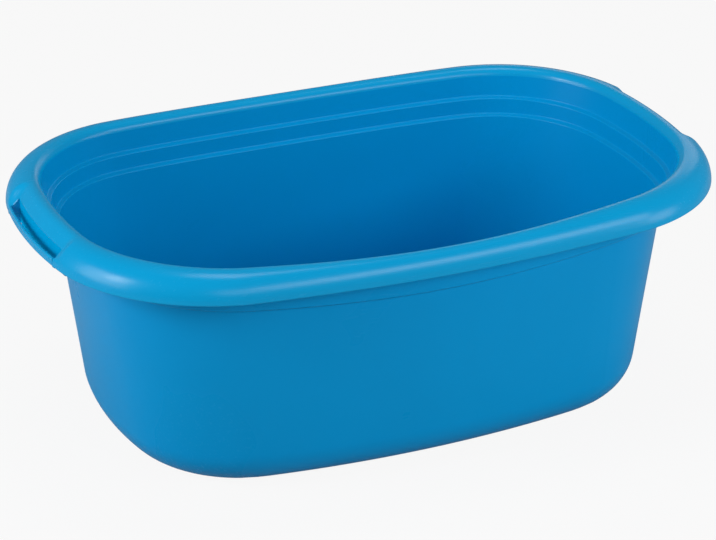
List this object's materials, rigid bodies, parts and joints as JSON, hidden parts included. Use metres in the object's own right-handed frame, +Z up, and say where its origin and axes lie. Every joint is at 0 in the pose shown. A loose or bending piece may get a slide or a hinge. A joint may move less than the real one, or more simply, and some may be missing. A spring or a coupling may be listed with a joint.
{
  "type": "washing up bowl",
  "caption": "Oval plastic washing up bowl with sloping walls, stepped ledges inside, a rolled rim that dips along its long sides and a slotted grip at each short end.",
  "frame": {"origin": "on the floor that the bowl stands on, under the centre of its overall box", "axes": "+X along the bowl's length, +Y towards its back, +Z up; the front long side faces -Y"},
  "size_m": [0.456, 0.2928, 0.1672],
  "materials": {
    "rim_blue": "satin gloss, injection-moulded polypropylene",
    "wall_blue": "satin gloss, injection-moulded polypropylene",
    "foot_blue": "satin, injection-moulded polypropylene"
  },
  "bodies": {
    "root": {"floor_panel": "wall_blue", "front_wall": "wall_blue", "back_wall": "wall_blue", "left_wall": "wall_blue", "right_wall": "wall_blue", "front_left_corner": "wall_blue", "front_right_corner": "wall_blue", "back_left_corner": "wall_blue", "back_right_corner": "wall_blue", "front_rim": "rim_blue", "back_rim": "rim_blue", "front_left_rim": "rim_blue", "front_right_rim": "rim_blue", "back_left_rim": "rim_blue", "back_right_rim": "rim_blue", "left_grip_shoulder": "rim_blue", "right_grip_shoulder": "rim_blue", "left_grip_bar": "rim_blue", "right_grip_bar": "rim_blue", "left_grip_front_end": "rim_blue", "left_grip_back_end": "rim_blue", "right_grip_front_end": "rim_blue", "right_grip_back_end": "rim_blue", "foot_ring": "foot_blue", "gate_mark": "foot_blue"}
  },
  "joints": []
}
